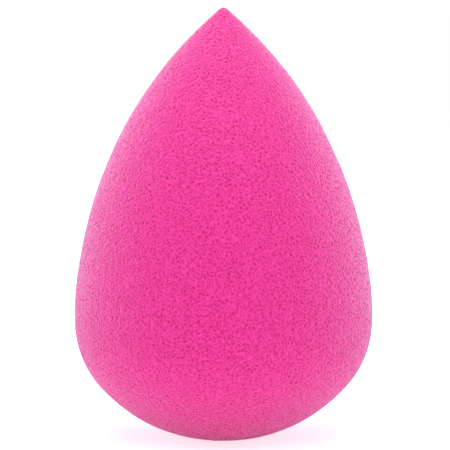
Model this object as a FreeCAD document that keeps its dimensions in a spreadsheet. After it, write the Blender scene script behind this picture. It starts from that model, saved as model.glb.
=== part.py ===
"""Teardrop makeup sponge, standing upright on its round base, in millimetres.

The sponge is one piece of fine open-cell foam, ground to a body of revolution: a round base to dab
with, a full belly, and flanks that run up in one long arc to a blunt point. It has no core, no
cover and no fixing.

Pressed sideways, the pointed end leans over and springs back. Two zones of the foam show that: the
body, topped by a dome, and the tip, hollowed to sit over the dome. Both round faces are centred on
the pivot that the tip leans about, so the tip turns over the dome without touching it.

The origin is the middle of the patch that the sponge stands on, with +Z up through the point.
"""

import FreeCAD
import Part
import Sketcher
import math
import os

PARTS_FOLDER = "parts"

# Driving sizes, in millimetres. A name that ends in share is a plain ratio.
SIZES = {
    "sponge_height": 60.0,  # from the standing patch to the point
    "belly_radius": 20.65,  # half the width at the widest place
    "belly_height": 16.1,  # height of the widest place
    "rest_flat_depth": 0.5,  # how far the soft base flattens where it stands
    "shoulder_share": 0.79,  # radius below the belly, of the belly's height over the unpressed base
    "nose_radius": 0.7,  # the blunt end of the point
    "tip_height": 13.75,  # height of the tip over the dome, on the axis
    "dome_margin": 0.15,  # how far the dome's sphere passes outside the widest place
    "zone_clearance": 0.15,  # between the dome and the tip's hollow
    "cut_overrun": 5.0,  # how far a cut reaches past the foam
}

# Sizes that follow from the driving ones. The dome's sphere is centred on the axis, at the pivot,
# and is as large as lets the widest place stay inside it.
SHOULDER_RADIUS = "sizes.shoulder_share * (sizes.belly_height + sizes.rest_flat_depth)"
DOME_TOP = "(sizes.sponge_height - sizes.tip_height)"
DOME_RISE = f"({DOME_TOP} - sizes.belly_height)"
DOME_SQUARES = f"(sizes.belly_radius ^ 2 + {DOME_RISE} ^ 2 - sizes.dome_margin ^ 2)"
DOME_RADIUS = f"{DOME_SQUARES} / (2 * ({DOME_RISE} - sizes.dome_margin))"
HOLLOW_RADIUS = f"{DOME_RADIUS} + sizes.zone_clearance"
PIVOT_HEIGHT = f"{DOME_TOP} - {DOME_RADIUS}"
ABOVE_SPONGE = "sizes.sponge_height + sizes.cut_overrun"
BELOW_SPONGE = "-sizes.cut_overrun"


def make_sheet(document):
    """Write the driving sizes into a sheet, one row for each."""
    sheet = document.addObject("Spreadsheet::Sheet", "sizes")
    for row, (name, value) in enumerate(SIZES.items(), start=1):
        sheet.set(f"A{row}", name)
        sheet.set(f"B{row}", str(value))
        sheet.setAlias(f"B{row}", name)
    document.recompute()
    return sheet


def new_sketch(body, name):
    """Start a sketch on the body's upright plane, with x as the radius and y as the height."""
    sketch = body.newObject("Sketcher::SketchObject", name)
    upright = next(plane for plane in body.Origin.OriginFeatures if plane.Role == "XZ_Plane")
    sketch.AttachmentSupport = [(upright, "")]
    sketch.MapMode = "FlatFace"
    return sketch


def point(radius, height):
    """Give a place in a sketch by its distance from the axis and its height."""
    return FreeCAD.Vector(radius, height, 0)


def arc(centre, radius, first_angle, last_angle):
    """Make an arc of a circle that runs anticlockwise from one angle to another."""
    upward = FreeCAD.Vector(0, 0, 1)
    return Part.ArcOfCircle(Part.Circle(centre, upward, radius), first_angle, last_angle)


def start(piece):
    """Name the place where a line, an arc or a point of a sketch starts."""
    return (piece, 1)


def end(piece):
    """Name the place where a line or an arc of a sketch ends."""
    return (piece, 2)


def middle(piece):
    """Name the centre of an arc of a sketch."""
    return (piece, 3)


def origin():
    """Name the sketch's origin."""
    return (-1, 1)


def put_on_ground(sketch, place):
    """Hold a place of a sketch at height zero."""
    sketch.addConstraint(Sketcher.Constraint("PointOnObject", *place, -1))


def put_on_axis(sketch, place):
    """Hold a place of a sketch on the sponge's axis."""
    sketch.addConstraint(Sketcher.Constraint("PointOnObject", *place, -2))


def fix(sketch, kind, *places):
    """Add a constraint that has no size."""
    sketch.addConstraint(Sketcher.Constraint(kind, *places))


def work_out(sketch, expression):
    """Give the present value of an expression over the sheet."""
    return float(sketch.evalExpression(expression))


def size(sketch, name, expression, kind, *places):
    """Add a constraint whose size follows an expression over the sheet."""
    constraint = Sketcher.Constraint(kind, *places, work_out(sketch, expression))
    sketch.renameConstraint(sketch.addConstraint(constraint), name)
    sketch.setExpression(f"Constraints.{name}", expression)


def outline_arcs(sheet):
    """Work out the outline's four arcs, from the base up to the point, to start the sketch from."""
    belly = sheet.belly_radius
    nose = sheet.nose_radius
    drop = sheet.belly_height + sheet.rest_flat_depth
    rise = sheet.sponge_height - nose - sheet.belly_height
    shoulder = sheet.shoulder_share * drop
    base = (belly**2 + drop**2 - 2 * shoulder * belly) / (2 * (drop - shoulder))
    flank = (belly**2 + rise**2 - nose**2) / (2 * (belly - nose))
    base_centre = point(0, base - sheet.rest_flat_depth)
    shoulder_centre = point(belly - shoulder, sheet.belly_height)
    flank_centre = point(belly - flank, sheet.belly_height)
    nose_centre = point(0, sheet.sponge_height - nose)
    flat_angle = -math.asin(base_centre.y / base)
    base_angle = math.atan2(shoulder_centre.y - base_centre.y, shoulder_centre.x)
    nose_angle = math.atan2(rise, flank - belly)
    return [
        arc(base_centre, base, flat_angle, base_angle),
        arc(shoulder_centre, shoulder, base_angle, 0),
        arc(flank_centre, flank, 0, nose_angle),
        arc(nose_centre, nose, nose_angle, math.pi / 2),
    ]


def revolve_teardrop(body, sheet):
    """Revolve the whole sponge's outline in a body.

    The base's arc is centred on the axis and would dip below the flat if nothing pressed it. Each
    arc runs on smoothly from the one below it, and the outline is upright at the widest place.
    """
    sketch = new_sketch(body, f"{body.Name}_outline")
    base, shoulder, flank, nose = (sketch.addGeometry(shape) for shape in outline_arcs(sheet))
    foot = point(0, 0)
    flat = sketch.addGeometry(Part.LineSegment(foot, sketch.getPoint(*start(base))))
    axis = sketch.addGeometry(Part.LineSegment(sketch.getPoint(*end(nose)), foot))
    unpressed = sketch.addGeometry(Part.Point(point(0, -sheet.rest_flat_depth)), True)

    fix(sketch, "Coincident", *start(flat), *origin())
    put_on_ground(sketch, end(flat))
    fix(sketch, "Coincident", *end(flat), *start(base))
    fix(sketch, "Tangent", *end(base), *start(shoulder))
    fix(sketch, "Tangent", *end(shoulder), *start(flank))
    fix(sketch, "Tangent", *end(flank), *start(nose))
    fix(sketch, "Coincident", *end(nose), *start(axis))
    fix(sketch, "Coincident", *end(axis), *origin())
    put_on_axis(sketch, end(nose))
    put_on_axis(sketch, middle(nose))
    put_on_axis(sketch, middle(base))
    put_on_axis(sketch, start(unpressed))
    fix(sketch, "PointOnObject", *start(unpressed), base)
    fix(sketch, "Horizontal", *middle(shoulder), *end(shoulder))
    size(sketch, "flat_depth", "sizes.rest_flat_depth", "DistanceY", *start(unpressed), *origin())
    size(sketch, "belly_radius", "sizes.belly_radius", "DistanceX", *origin(), *end(shoulder))
    size(sketch, "belly_height", "sizes.belly_height", "DistanceY", *origin(), *end(shoulder))
    size(sketch, "sponge_height", "sizes.sponge_height", "DistanceY", *origin(), *end(nose))
    size(sketch, "shoulder_radius", SHOULDER_RADIUS, "Radius", shoulder)
    size(sketch, "nose_radius", "sizes.nose_radius", "Radius", nose)

    teardrop = body.newObject("PartDesign::Revolution", f"{body.Name}_teardrop")
    teardrop.Profile = sketch
    teardrop.ReferenceAxis = (sketch, ["V_Axis"])
    return teardrop


def cut_zone(body, round_radius, far_height):
    """Cut a body back to one zone, leaving a round face centred on the pivot.

    The cut runs along the axis from the round face to the far height, outside everything there, and
    back to the round face at the pivot's height.
    """
    sketch = new_sketch(body, f"{body.Name}_limit")
    radius = work_out(sketch, round_radius)
    pivot = work_out(sketch, PIVOT_HEIGHT)
    far = work_out(sketch, far_height)
    outside = radius + work_out(sketch, "sizes.cut_overrun")
    corners = [
        point(0, pivot + radius),
        point(0, far),
        point(outside, far),
        point(outside, pivot),
        point(radius, pivot),
    ]
    axis, level, wall, ledge = (
        sketch.addGeometry(Part.LineSegment(first, second))
        for first, second in zip(corners, corners[1:])
    )
    rounded = sketch.addGeometry(arc(point(0, pivot), radius, 0, math.pi / 2))

    fix(sketch, "Coincident", *end(rounded), *start(axis))
    fix(sketch, "Coincident", *end(axis), *start(level))
    fix(sketch, "Coincident", *end(level), *start(wall))
    fix(sketch, "Coincident", *end(wall), *start(ledge))
    fix(sketch, "Coincident", *end(ledge), *start(rounded))
    put_on_axis(sketch, middle(rounded))
    put_on_axis(sketch, start(axis))
    fix(sketch, "Vertical", axis)
    fix(sketch, "Horizontal", level)
    fix(sketch, "Vertical", wall)
    fix(sketch, "Horizontal", ledge)
    fix(sketch, "Horizontal", *start(rounded), *middle(rounded))
    size(sketch, "round_radius", round_radius, "Radius", rounded)
    size(sketch, "pivot_height", PIVOT_HEIGHT, "DistanceY", *origin(), *middle(rounded))
    size(sketch, "far_height", far_height, "DistanceY", *origin(), *end(axis))
    size(sketch, "overrun", "sizes.cut_overrun", "DistanceX", *end(ledge), *start(ledge))

    limit = body.newObject("PartDesign::Groove", f"{body.Name}_zone")
    limit.Profile = sketch
    limit.ReferenceAxis = (sketch, ["V_Axis"])
    return limit


def make_zone(document, sheet, name, round_radius, far_height):
    """Build one zone of the foam as a body of its own, and check that its cut removed foam."""
    body = document.addObject("PartDesign::Body", name)
    body.Label = name
    body.Placement = FreeCAD.Placement()
    teardrop = revolve_teardrop(body, sheet)
    limit = cut_zone(body, round_radius, far_height)
    document.recompute()
    if not limit.Shape.Volume < teardrop.Shape.Volume:
        raise RuntimeError(f"{name}: the zone's cut removed nothing")
    return body


def check(document):
    """Stop if any object failed to build."""
    for item in document.Objects:
        if "Invalid" in item.State or "Error" in item.State:
            raise RuntimeError(f"{item.Label}: {item.State}")


def export(zones):
    """Write each zone to a file that carries its label."""
    os.makedirs(PARTS_FOLDER, exist_ok=True)
    for zone in zones:
        if zone.Shape.isNull() or not zone.Shape.isValid():
            raise RuntimeError(f"{zone.Label}: the shape is not sound")
        zone.Shape.exportStep(f"{PARTS_FOLDER}/{zone.Label}.step")
        print(zone.Label, zone.Shape.Volume, zone.Shape.BoundBox)


document = FreeCAD.newDocument("makeup_sponge")
sizes = make_sheet(document)
sponge_body = make_zone(document, sizes, "sponge_body", DOME_RADIUS, ABOVE_SPONGE)
sponge_tip = make_zone(document, sizes, "sponge_tip", HOLLOW_RADIUS, BELOW_SPONGE)
check(document)
export([sponge_body, sponge_tip])
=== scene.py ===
"""A teardrop makeup sponge of pink foam, standing on a white table in soft light.

The sponge is one closed skin over both of the solid's zones.
Its pores are cut into the mesh, and the finish follows the same pores, with shade painted into the
colour towards the bottom of each pore.
"""

import logging
import math
from dataclasses import dataclass
from enum import Enum

import bmesh
import bpy
import numpy as np
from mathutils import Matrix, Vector


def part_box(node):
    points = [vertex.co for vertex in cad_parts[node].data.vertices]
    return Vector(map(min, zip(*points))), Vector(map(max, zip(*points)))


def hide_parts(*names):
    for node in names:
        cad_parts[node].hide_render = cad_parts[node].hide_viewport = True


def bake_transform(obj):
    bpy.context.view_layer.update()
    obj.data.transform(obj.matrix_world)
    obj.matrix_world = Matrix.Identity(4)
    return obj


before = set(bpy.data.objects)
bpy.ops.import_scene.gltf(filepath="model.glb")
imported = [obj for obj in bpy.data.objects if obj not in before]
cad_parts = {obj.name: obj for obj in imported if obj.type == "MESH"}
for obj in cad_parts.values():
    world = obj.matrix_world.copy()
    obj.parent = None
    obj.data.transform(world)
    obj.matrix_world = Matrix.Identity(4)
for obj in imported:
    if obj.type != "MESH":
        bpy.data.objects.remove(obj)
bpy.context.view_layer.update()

REST_PLACE = "foam_place"
BAKE_MAP = "OFBake"
MILLIMETRE = 0.001
TINY = 1e-6

log = logging.getLogger("sponge")

Colour = tuple[float, float, float, float]

WHITE: Colour = (1.0, 1.0, 1.0, 1.0)

# A Mix node keeps its sockets for colours behind those for numbers and vectors
MIX_SHARE = 0
MIX_FIRST = 6
MIX_SECOND = 7
MIX_RESULT = 2


class Operation(Enum):
    """The sums that a wire can be used in."""

    ADD = "ADD"
    SUBTRACT = "SUBTRACT"
    MULTIPLY = "MULTIPLY"


class Slope(Enum):
    """How a ramp rises."""

    STRAIGHT = "LINEAR"
    SOFT = "SMOOTHSTEP"


@dataclass(frozen=True)
class Wire:
    """One number that varies over a surface: an output socket, which can be used in sums."""

    graph: "Graph"
    socket: bpy.types.NodeSocket | None

    def _sum(self, operation: Operation, left: "Wire | float", right: "Wire | float") -> "Wire":
        """Add a Math node for one sum."""
        return self.graph.node("ShaderNodeMath", {"operation": operation.value}, {0: left, 1: right})

    def __add__(self, other: "Wire | float") -> "Wire":
        """Add a number or a wire."""
        return self._sum(Operation.ADD, self, other)

    def __radd__(self, other: float) -> "Wire":
        """Add this wire to a number."""
        return self._sum(Operation.ADD, other, self)

    def __sub__(self, other: "Wire | float") -> "Wire":
        """Take a number or a wire away."""
        return self._sum(Operation.SUBTRACT, self, other)

    def __rsub__(self, other: float) -> "Wire":
        """Take this wire away from a number."""
        return self._sum(Operation.SUBTRACT, other, self)

    def __mul__(self, other: "Wire | float") -> "Wire":
        """Multiply by a number or a wire."""
        return self._sum(Operation.MULTIPLY, self, other)

    def __rmul__(self, other: float) -> "Wire":
        """Multiply a number by this wire."""
        return self._sum(Operation.MULTIPLY, other, self)


@dataclass(frozen=True)
class Graph:
    """A tree of nodes, of a material or of a skin's shape."""

    tree: bpy.types.NodeTree

    def node(
        self,
        kind: str,
        settings: dict[str, object] | None = None,
        inputs: dict[str | int, object] | None = None,
        output: str | int = 0,
    ) -> Wire:
        """Add one node.

        Args:
            kind: The node's type.
            settings: What to set on the node before its sockets.
            inputs: A value or a wire for each socket, by name or number.
            output: The socket to give back.

        Returns:
            The output as a wire.
        """
        made = self.tree.nodes.new(kind)
        for name, value in (settings or {}).items():
            setattr(made, name, value)
        for name, value in (inputs or {}).items():
            if isinstance(value, Wire):
                self.tree.links.new(value.socket, made.inputs[name])
            else:
                made.inputs[name].default_value = value
        return Wire(self, made.outputs[output] if len(made.outputs) else None)

    def ramp(self, value: Wire, low: float, high: float, kind: Slope = Slope.STRAIGHT) -> Wire:
        """Turn a value into 0 below one limit and 1 above another.

        Args:
            value: What to turn.
            low: The limit for 0.
            high: The limit for 1.
            kind: How it rises between them.

        Returns:
            A wire from 0 to 1.
        """
        return self.node(
            "ShaderNodeMapRange",
            {"interpolation_type": kind.value, "clamp": True},
            {"Value": value, "From Min": low, "From Max": high, "To Min": 0.0, "To Max": 1.0},
        )


@dataclass(frozen=True)
class FoamCells:
    """The open cells that the surface of the foam cuts through.

    The large and the fine cells are stirred, so that no two pores look alike. The grit is the
    unevenness that grinding leaves on the struts.
    """

    randomness: float = 1.0
    cell_size: float = 0.50 * MILLIMETRE
    fine_cell_size: float = 0.31 * MILLIMETRE
    grit_size: float = 0.32 * MILLIMETRE
    grit_detail: float = 0.0
    warp_size: float = 0.45 * MILLIMETRE
    warp_detail: float = 1.0
    warp_reach: float = 0.24 * MILLIMETRE
    strut_share: float = 0.0
    open_share: float = 0.35
    shut_share: float = 0.85
    fine_share: float = 0.2
    grit_share: float = 1.2
    grit_top: float = 0.25
    deepest: float = 3.0

    def _opening(self, graph: Graph, place: Wire, size: float) -> Wire:
        """Make one layer of cells.

        Args:
            graph: The tree to add to.
            place: Where on the foam.
            size: The cells' mean spacing.

        Returns:
            0 on the struts, and up to 1 in the middle of a pore.
        """
        cells = {"Vector": place, "Scale": 1 / size, "Randomness": self.randomness}
        solid = {"voronoi_dimensions": "3D"}
        edge = graph.node("ShaderNodeTexVoronoi", solid | {"feature": "DISTANCE_TO_EDGE"}, cells)
        chance = graph.node("ShaderNodeTexVoronoi", solid | {"feature": "F1"}, cells, "Color")
        luck = graph.node("ShaderNodeSeparateXYZ", None, {0: chance})
        return graph.ramp(edge, self.strut_share, self.open_share, Slope.SOFT) * (
            self.shut_share + (1 - self.shut_share) * luck
        )

    def depth(self, graph: Graph, place: Wire) -> Wire:
        """Give how far the surface lies inside a pore.

        Args:
            graph: The tree to add to.
            place: Where on the foam, at rest.

        Returns:
            0 on the ground tops of the struts, and 1 or more at the bottom of a pore.
        """
        stir = graph.node(
            "ShaderNodeTexNoise",
            {"noise_dimensions": "3D"},
            {"Vector": place, "Scale": 1 / self.warp_size, "Detail": self.warp_detail},
            "Color",
        )
        shift = graph.node(
            "ShaderNodeVectorMath",
            {"operation": "MULTIPLY_ADD"},
            {0: stir, 1: (self.warp_reach,) * 3, 2: (-self.warp_reach / 2,) * 3},
        )
        moved = graph.node("ShaderNodeVectorMath", {"operation": "ADD"}, {0: place, 1: shift})
        coarse = self._opening(graph, moved, self.cell_size)
        fine = self._opening(graph, moved, self.fine_cell_size)
        grit = graph.node(
            "ShaderNodeTexNoise",
            {"noise_dimensions": "3D"},
            {"Vector": place, "Scale": 1 / self.grit_size, "Detail": self.grit_detail},
        )
        cells = coarse * (1 - self.fine_share) + fine * self.fine_share
        below = cells + (grit - self.grit_top) * self.grit_share
        limits = {"Min": 0.0, "Max": self.deepest}
        return graph.node("ShaderNodeClamp", None, {"Value": below} | limits)


@dataclass(frozen=True)
class FoamFinish:
    """Matt dyed foam with shade painted into the pores: the colour darkens from the struts to the
    bottom of each pore, with a cool soft bloom at the edges.
    """

    strut_colour: Colour = (1.0, 0.04, 0.41, 1.0)
    # Painted shade: the colour at the bottom of a pore, darker and deeper than the strut colour
    pore_shade_colour: Colour = (0.76, 0.0005, 0.18, 1.0)
    # Between these depths the colour darkens into the painted pore shade, and the roughness rises
    pale_depth: float = 0.1
    full_depth: float = 1.3
    strut_roughness: float = 0.5
    pore_roughness: float = 0.8
    gloss_level: float = 0.3
    bloom: float = 0.66
    bloom_roughness: float = 0.5
    bloom_tint: Colour = (0.6, 0.76, 1.0, 1.0)
    bump_depth: float = 0.01 * MILLIMETRE
    bump_strength: float = 1.0

    def material(self, cells: FoamCells) -> bpy.types.Material:
        """Make the foam's material.

        Args:
            cells: The pores that the colour, with its painted pore shade, and the relief follow.

        Returns:
            The material.
        """
        made = bpy.data.materials.new("pink_foam")
        made.use_nodes = True
        made.node_tree.nodes.clear()
        graph = Graph(made.node_tree)
        place = graph.node("ShaderNodeAttribute", {"attribute_name": REST_PLACE}, None, "Vector")
        depth = cells.depth(graph, place)
        inside = graph.ramp(depth, self.pale_depth, self.full_depth)
        # Painted shade: the colour darkens from the struts towards the bottom of each pore
        colour = graph.node(
            "ShaderNodeMix",
            {"data_type": "RGBA"},
            {MIX_SHARE: inside, MIX_FIRST: self.strut_colour, MIX_SECOND: self.pore_shade_colour},
            MIX_RESULT,
        )
        roughness = self.strut_roughness + inside * (self.pore_roughness - self.strut_roughness)
        relief = graph.node(
            "ShaderNodeBump",
            {"invert": True},
            {"Strength": self.bump_strength, "Distance": self.bump_depth, "Height": depth},
        )
        skin = graph.node(
            "ShaderNodeBsdfPrincipled",
            None,
            {
                "Base Color": colour,
                "Roughness": roughness,
                "Specular IOR Level": self.gloss_level,
                "Sheen Weight": self.bloom,
                "Sheen Roughness": self.bloom_roughness,
                "Sheen Tint": self.bloom_tint,
                "Normal": relief,
            },
        )
        graph.node("ShaderNodeOutputMaterial", None, {"Surface": skin})
        return made


@dataclass(frozen=True)
class TeardropOutline:
    """Half of the sponge's outline, from the point down to the flat that it stands on.

    Four arcs and the flat make it. The cover makes up for what the pores take off the surface, and
    the fullness is how far the flank stands out past its arc, just above the widest place.
    """

    height: float
    belly_radius: float
    belly_height: float = 16.1 * MILLIMETRE
    flat_depth: float = 0.5 * MILLIMETRE
    shoulder_share: float = 0.79
    nose_radius: float = 0.7 * MILLIMETRE
    cover: float = 0.10 * MILLIMETRE
    fullness: float = 0.17 * MILLIMETRE
    full_height: float = 19.5 * MILLIMETRE
    full_reach: float = 5.0 * MILLIMETRE
    steps: int = 400

    def _arc(
        self, centre: tuple[float, float], radius: float, first: float, last: float
    ) -> np.ndarray:
        """Sample an arc.

        Args:
            centre: Its centre, as radius and height.
            radius: Its radius.
            first: The angle it starts at.
            last: The angle it ends at.

        Returns:
            Points as rows of radius and height.
        """
        angle = np.linspace(first, last, self.steps)
        return np.stack([centre[0] + radius * np.cos(angle), centre[1] + radius * np.sin(angle)], 1)

    def points(self) -> np.ndarray:
        """Sample the whole outline.

        Returns:
            Points as rows of radius and height, from the point to the middle of the flat.
        """
        belly, nose = self.belly_radius, self.nose_radius
        drop = self.belly_height + self.flat_depth
        rise = self.height - nose - self.belly_height
        shoulder = self.shoulder_share * drop
        base = (belly**2 + drop**2 - 2 * shoulder * belly) / (2 * (drop - shoulder))
        flank = (belly**2 + rise**2 - nose**2) / (2 * (belly - nose))
        base_centre = (0.0, base - self.flat_depth)
        shoulder_centre = (belly - shoulder, self.belly_height)
        nose_angle = math.atan2(rise, flank - belly)
        base_angle = math.atan2(self.belly_height - base_centre[1], shoulder_centre[0])
        flat_angle = -math.asin(base_centre[1] / base)
        foot = base * math.cos(flat_angle)
        flat = np.stack([np.linspace(foot, 0.0, self.steps), np.zeros(self.steps)], 1)
        half = np.concatenate(
            [
                self._arc((0.0, self.height - nose), nose, math.pi / 2, nose_angle),
                self._arc((belly - flank, self.belly_height), flank, nose_angle, 0.0),
                self._arc(shoulder_centre, shoulder, 0.0, base_angle),
                self._arc(base_centre, base, base_angle, flat_angle),
                flat,
            ]
        )
        half[:, 0] += self.cover * np.clip(half[:, 0] / nose, 0.0, 1.0)
        away = (half[:, 1] - self.full_height) / self.full_reach
        half[:, 0] += self.fullness * np.exp(-(away**2))
        return half


@dataclass
class Sponge:
    """The sponge: one closed skin of foam over the solid's body and tip."""

    outline: TeardropOutline
    cells: FoamCells
    finish: FoamFinish
    ball_divisions: int = 9
    pore_depth: float = 0.10 * MILLIMETRE
    hollow_depth: float = 0.12 * MILLIMETRE
    hollow_size: float = 16 * MILLIMETRE
    hollow_detail: float = 1.0
    hollow_from: float = 0.3
    hollow_to: float = 0.7
    bend_start: float = 10 * MILLIMETRE
    bend_end: float = 52 * MILLIMETRE

    def build(self) -> bpy.types.Object:
        """Make the skin and its pores.

        Returns:
            The finished object, with its place in its mesh.
        """
        mesh = bpy.data.meshes.new("sponge_foam")
        ball = bmesh.new()
        ball.loops.layers.uv.new(BAKE_MAP)
        bmesh.ops.create_icosphere(
            ball, subdivisions=self.ball_divisions, radius=1.0, calc_uvs=True
        )
        ball.to_mesh(mesh)
        ball.free()
        self._shape(mesh)
        mesh.shade_smooth()
        skin = bpy.data.objects.new("sponge_foam", mesh)
        bpy.context.scene.collection.objects.link(skin)
        self._cut_pores(skin)
        return skin

    def _shape(self, mesh: bpy.types.Mesh) -> None:
        """Draw a ball out to the teardrop, so that each face keeps its share of the surface.

        Args:
            mesh: The ball's mesh.
        """
        points = self.outline.points()
        bands = np.hypot(*np.diff(points, axis=0).T) * (points[1:, 0] + points[:-1, 0]) / 2
        share = np.concatenate([[0.0], np.cumsum(bands)]) / bands.sum()
        place = np.empty(len(mesh.vertices) * 3)
        mesh.vertices.foreach_get("co", place)
        place = place.reshape(-1, 3)
        above = (1 - place[:, 2]) / 2
        across = np.hypot(place[:, 0], place[:, 1])
        place[:, :2] *= (np.interp(above, share, points[:, 0]) / np.maximum(across, TINY))[:, None]
        place[:, 2] = np.interp(above, share, points[:, 1])
        mesh.vertices.foreach_set("co", place.ravel())
        chart = np.empty(len(mesh.loops) * 2)
        mesh.uv_layers[BAKE_MAP].data.foreach_get("uv", chart)
        chart = chart.reshape(-1, 2)
        chart /= chart.max(axis=0)
        mesh.uv_layers[BAKE_MAP].data.foreach_set("uv", chart.ravel())
        mesh.update()

    def _cut_pores(self, skin: bpy.types.Object) -> None:
        """Push the skin's pores in, and make the result the object's own mesh.

        Args:
            skin: The smooth teardrop.
        """
        pores = skin.modifiers.new("pores", "NODES")
        pores.node_group = self._pore_shape()
        graph = bpy.context.evaluated_depsgraph_get()
        mesh = bpy.data.meshes.new_from_object(skin.evaluated_get(graph), depsgraph=graph)
        smooth_mesh, pore_tree = skin.data, pores.node_group
        skin.modifiers.clear()
        skin.data = mesh
        bpy.data.meshes.remove(smooth_mesh)
        bpy.data.node_groups.remove(pore_tree)
        mesh.name = skin.name

    def _pore_shape(self) -> bpy.types.NodeTree:
        """Make the nodes that remember where each point was and then push it in.

        Returns:
            The tree for a modifier.
        """
        tree = bpy.data.node_groups.new("foam_pores", "GeometryNodeTree")
        for way in ("INPUT", "OUTPUT"):
            tree.interface.new_socket("Geometry", in_out=way, socket_type="NodeSocketGeometry")
        graph = Graph(tree)
        shape = graph.node("NodeGroupInput")
        place = graph.node("GeometryNodeInputPosition")
        normal = graph.node("GeometryNodeInputNormal")
        stored = graph.node(
            "GeometryNodeStoreNamedAttribute",
            {"data_type": "FLOAT_VECTOR", "domain": "POINT"},
            {"Geometry": shape, "Name": REST_PLACE, "Value": place},
        )
        unevenness = graph.node(
            "ShaderNodeTexNoise",
            {"noise_dimensions": "3D"},
            {"Vector": place, "Scale": 1 / self.hollow_size, "Detail": self.hollow_detail},
        )
        hollow = graph.ramp(unevenness, self.hollow_from, self.hollow_to)
        outward = self.cells.depth(graph, place) * -self.pore_depth - hollow * self.hollow_depth
        push = graph.node(
            "ShaderNodeVectorMath", {"operation": "SCALE"}, {0: normal, "Scale": outward}
        )
        moved = graph.node("GeometryNodeSetPosition", None, {"Geometry": stored, "Offset": push})
        graph.node("NodeGroupOutput", None, {"Geometry": moved})
        return tree

    def dress(self, skin: bpy.types.Object) -> None:
        """Give the skin its finish, hide the solid's body and tip, and set the skin's place into its
        mesh.

        Args:
            skin: The skin from build.
        """
        skin.data.materials.clear()
        skin.data.materials.append(self.finish.material(self.cells))
        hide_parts("sponge_body", "sponge_tip")
        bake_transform(skin)


@dataclass(frozen=True)
class Lamp:
    """A soft square lamp that faces the sponge from a bearing: 0 is the front, and 90 the right."""

    name: str
    bearing: float
    elevation: float
    power: float
    distance: float = 0.75
    width: float = 0.5

    def hang(self, target: Vector) -> None:
        """Put the lamp in the scene.

        Args:
            target: The point that it faces.
        """
        light = bpy.data.lights.new(self.name, "AREA")
        light.shape = "SQUARE"
        light.size = self.width
        light.energy = self.power
        round_about, up = math.radians(self.bearing), math.radians(self.elevation)
        flat = math.cos(up)
        away = Vector((flat * math.sin(round_about), -flat * math.cos(round_about), math.sin(up)))
        held = bpy.data.objects.new(self.name, light)
        held.location = target + away * self.distance
        held.rotation_mode = "QUATERNION"
        held.rotation_quaternion = away.to_track_quat("Z", "Y")
        bpy.context.scene.collection.objects.link(held)


@dataclass
class Studio:
    """A white table under a white sky, and soft lamps round the sponge."""

    lamps: tuple[Lamp, ...]
    table_size: float = 1.4
    table_white: float = 0.9
    table_lift: float = 0.5
    table_glow: float = 0.2
    sky_light: float = 0.1

    def build(self, target: Vector) -> None:
        """Put up the table, the sky and the lamps.

        Args:
            target: The middle of the sponge.
        """
        for lamp in self.lamps:
            lamp.hang(target)
        self._lay_table()
        self._open_sky()

    def _lay_table(self) -> None:
        """Make the table top, which a camera sees as white outside the sponge's shadow."""
        mesh = bpy.data.meshes.new("table_top")
        sheet = bmesh.new()
        bmesh.ops.create_grid(sheet, x_segments=1, y_segments=1, size=self.table_size / 2)
        sheet.to_mesh(mesh)
        sheet.free()
        table = bpy.data.objects.new("table_top", mesh)
        bpy.context.scene.collection.objects.link(table)
        white = bpy.data.materials.new("table_white")
        white.use_nodes = True
        white.node_tree.nodes.clear()
        graph = Graph(white.node_tree)
        grey = (self.table_white,) * 3 + (1.0,)
        paint = graph.node("ShaderNodeBsdfDiffuse", None, {"Color": grey})
        shine = self.table_glow + _seen_plainly(graph) * self.table_lift
        lift = graph.node("ShaderNodeEmission", None, {"Strength": shine})
        both = graph.node("ShaderNodeAddShader", None, {0: paint, 1: lift})
        graph.node("ShaderNodeOutputMaterial", None, {"Surface": both})
        mesh.materials.append(white)

    def _open_sky(self) -> None:
        """Make the sky, white where it is seen and even in the light that it gives."""
        world = bpy.data.worlds.new("white_sky")
        world.use_nodes = True
        world.node_tree.nodes.clear()
        graph = Graph(world.node_tree)
        seen = _seen_plainly(graph)
        strength = seen + (1 - seen) * self.sky_light
        sky = graph.node("ShaderNodeBackground", None, {"Color": WHITE, "Strength": strength})
        graph.node("ShaderNodeOutputWorld", None, {"Surface": sky})
        bpy.context.scene.world = world


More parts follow.
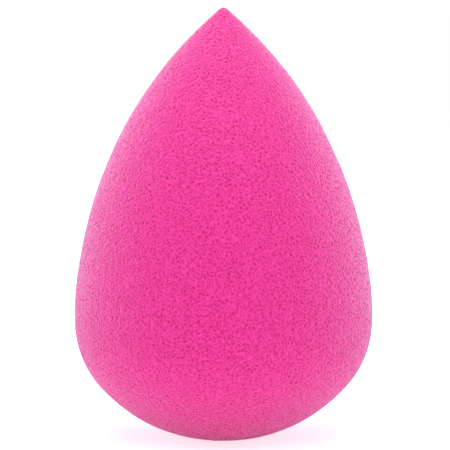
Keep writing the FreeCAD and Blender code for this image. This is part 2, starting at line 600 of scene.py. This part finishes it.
def _seen_plainly(graph: Graph) -> Wire:
    """Give 1 where a camera, a gloss or a clear material looks, and 0 where light falls.

    Args:
        graph: The tree to add to.

    Returns:
        The mask.
    """
    ray = graph.node("ShaderNodeLightPath", None, None, "Is Camera Ray")
    outputs = ray.socket.node.outputs
    gloss = Wire(graph, outputs["Is Glossy Ray"])
    clear = Wire(graph, outputs["Is Transmission Ray"])
    return graph.node("ShaderNodeClamp", None, {"Value": ray + gloss + clear})


@dataclass(frozen=True)
class Viewpoint:
    """The camera: a long lens, a little above the sponge's middle."""

    lens: float = 180.0
    distance: float = 0.3137
    elevation: float = 6.0
    aim_height: float = 29.73 * MILLIMETRE
    shift: tuple[float, float] = (0.0036, 0.0)

    def set_up(self) -> None:
        """Make the camera and look through it."""
        data = bpy.data.cameras.new("camera")
        data.lens = self.lens
        data.shift_x, data.shift_y = self.shift
        camera = bpy.data.objects.new("camera", data)
        tilt = math.radians(self.elevation)
        aim = Vector((0.0, 0.0, self.aim_height))
        back = Vector((0.0, -math.cos(tilt), math.sin(tilt)))
        camera.location = aim + back * self.distance
        camera.rotation_mode = "QUATERNION"
        camera.rotation_quaternion = (-back).to_track_quat("-Z", "Y")
        bpy.context.scene.collection.objects.link(camera)
        bpy.context.scene.camera = camera


def main() -> None:
    """Build the sponge and its studio, and report each piece."""
    logging.basicConfig(level=logging.INFO, format="%(name)s: %(message)s")
    bpy.context.scene.view_settings.view_transform = "Standard"
    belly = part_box("sponge_body")[1].x
    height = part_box("sponge_tip")[1].z
    sponge = Sponge(TeardropOutline(height, belly), FoamCells(), FoamFinish())
    skin = sponge.build()
    sponge.dress(skin)
    log.info("%s: %d faces", skin.name, len(skin.data.polygons))
    middle = Vector((0.0, 0.0, height / 2))
    Studio(
        (
            Lamp("front_lamp", bearing=0.0, elevation=45.0, power=1.92),
            Lamp("left_lamp", bearing=-90.0, elevation=10.0, power=0.72),
            Lamp("right_lamp", bearing=90.0, elevation=10.0, power=0.67),
            Lamp("left_back_lamp", bearing=-126.0, elevation=9.0, power=1.5),
            Lamp("right_back_lamp", bearing=126.0, elevation=9.0, power=1.35),
            Lamp("top_back_lamp", bearing=180.0, elevation=45.0, power=1.35),
            Lamp("top_lamp", bearing=0.0, elevation=90.0, power=4.0),
        )
    ).build(middle)
    Viewpoint().set_up()


if __name__ == "__main__":
    main()
